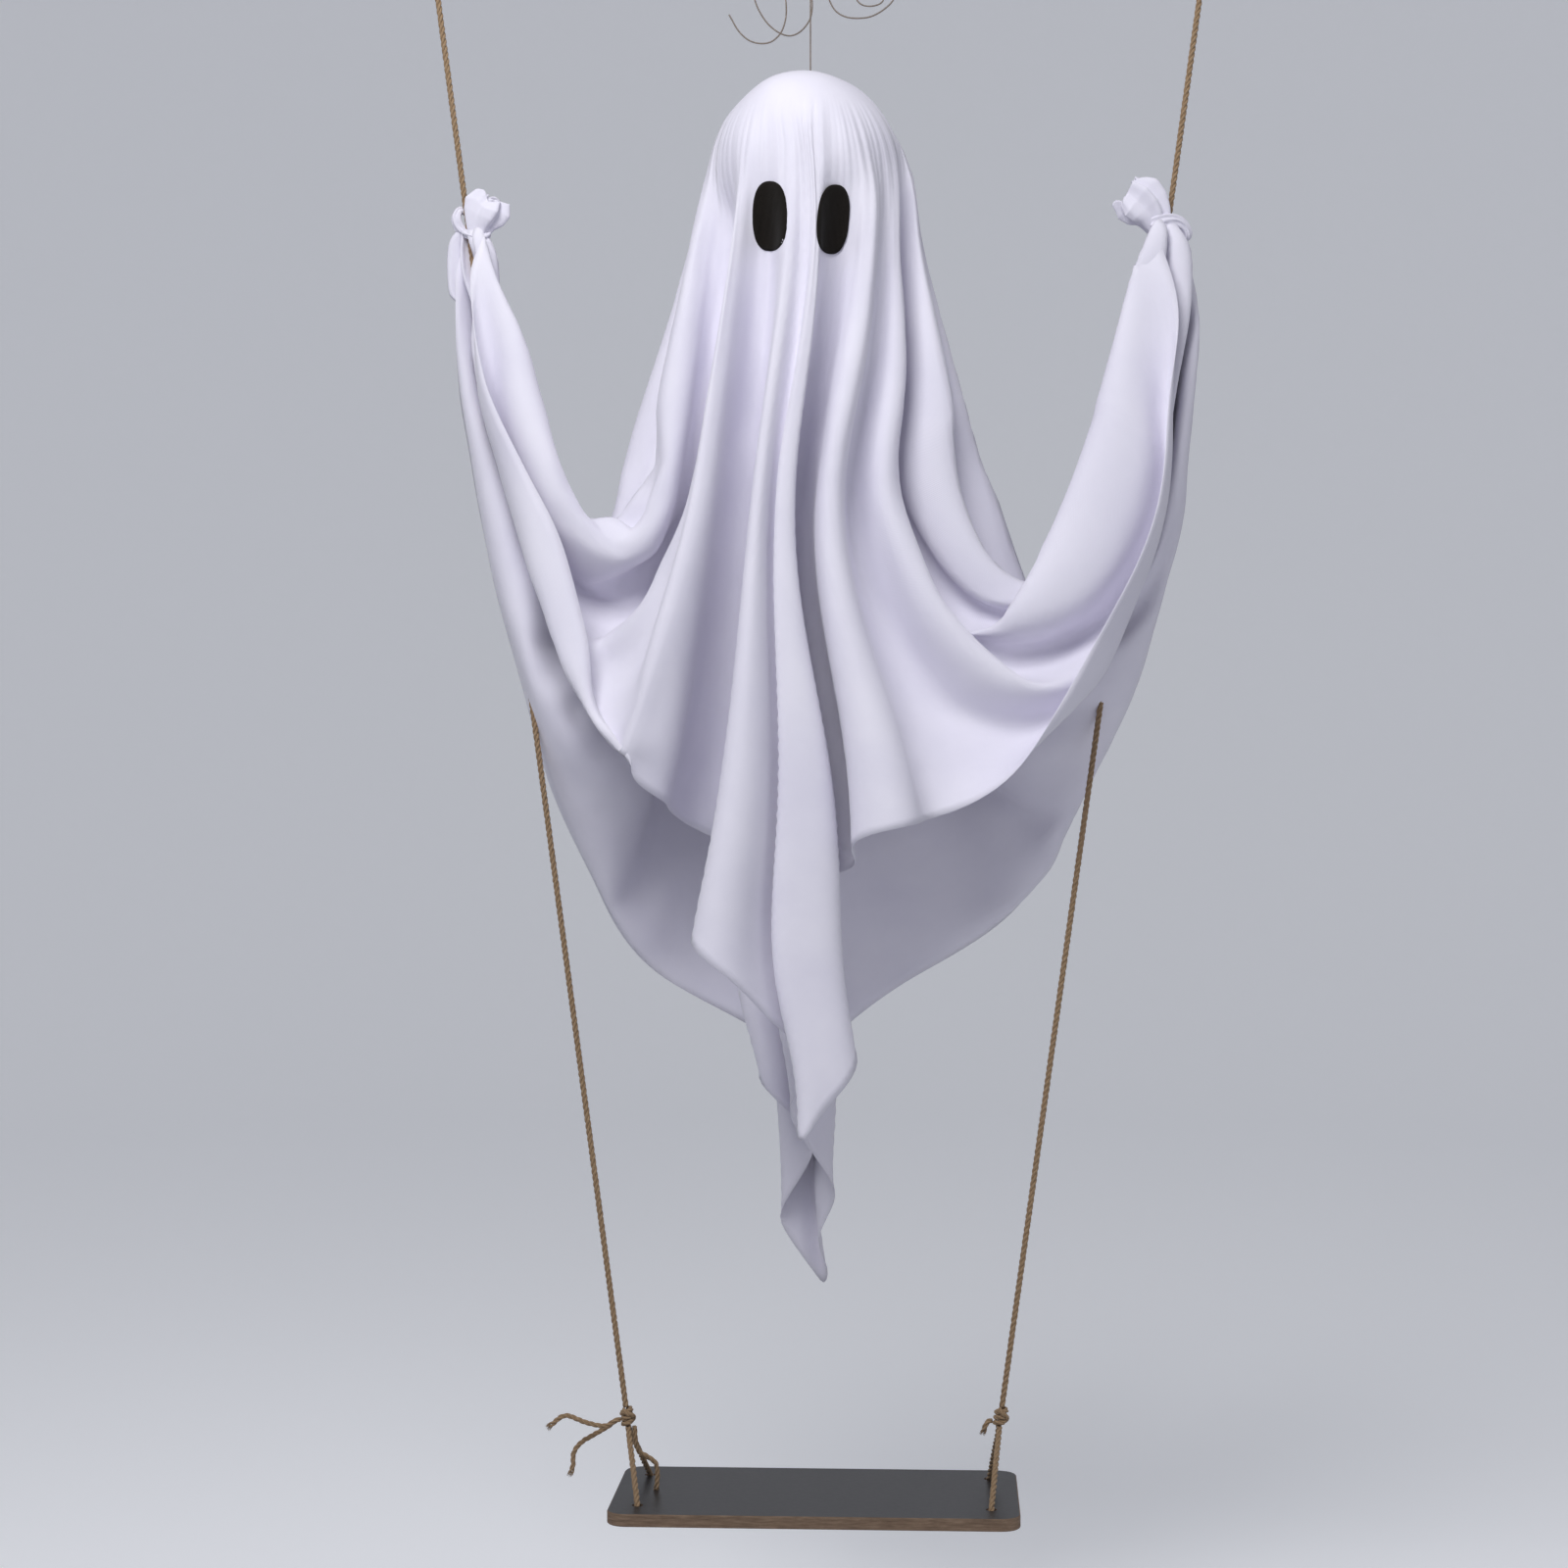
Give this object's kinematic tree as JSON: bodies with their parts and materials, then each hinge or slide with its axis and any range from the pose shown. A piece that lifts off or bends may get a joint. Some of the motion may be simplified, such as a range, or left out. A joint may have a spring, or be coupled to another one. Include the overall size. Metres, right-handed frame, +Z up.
{
  "type": "hanging fabric ghost on a rope swing",
  "caption": "White jersey sheet over a foam ball head, its corners knotted to the ropes of a small swing, hung from ceiling hooks.",
  "frame": {"origin": "middle of the centre ceiling plate's top face, where it meets the ceiling", "axes": "+Z up out of the ceiling plate, -Y towards the ghost's face, +X to the right of someone who faces it"},
  "size_m": [0.7903, 0.2795, 1.5396],
  "materials": {
    "hook_steel": "zinc plated",
    "jute": "twisted natural jute",
    "jersey": "smooth matt stretch jersey",
    "felt": "matt black felt",
    "foam": "beaded foam",
    "birch": "plain",
    "line": "thin braided nylon",
    "board": "satin black face, bare brown edges"
  },
  "bodies": {
    "ceiling_hooks": {"hook_centre": "hook_steel", "hook_left": "hook_steel", "hook_right": "hook_steel"},
    "ghost": {"eye_left": "felt", "eye_right": "felt", "head_ball": "foam", "head_line": "line", "head_line_curl_left": "line", "head_line_curl_right": "line", "head_line_eye": "line", "head_line_knot": "line", "head_line_stop": "line", "line_button": "birch", "rope_left": "jute", "rope_left_bridle": "jute", "rope_left_eye": "jute", "rope_left_seat_knot": "jute", "rope_left_tail_back": "jute", "rope_left_tail_long": "jute", "rope_left_tail_low": "jute", "rope_left_top_knot": "jute", "rope_right": "jute", "rope_right_bridle": "jute", "rope_right_eye": "jute", "rope_right_seat_knot": "jute", "rope_right_tail": "jute", "rope_right_top_knot": "jute", "seat_board": "board", "sheet": "jersey"}
  },
  "joints": [
    {"name": "swing", "type": "hinge", "parent": "ceiling_hooks", "child": "ghost", "pos_m": [0, 0, -0.03], "axis": [1, 0, 0], "range_deg": [-22, 22]}
  ]
}
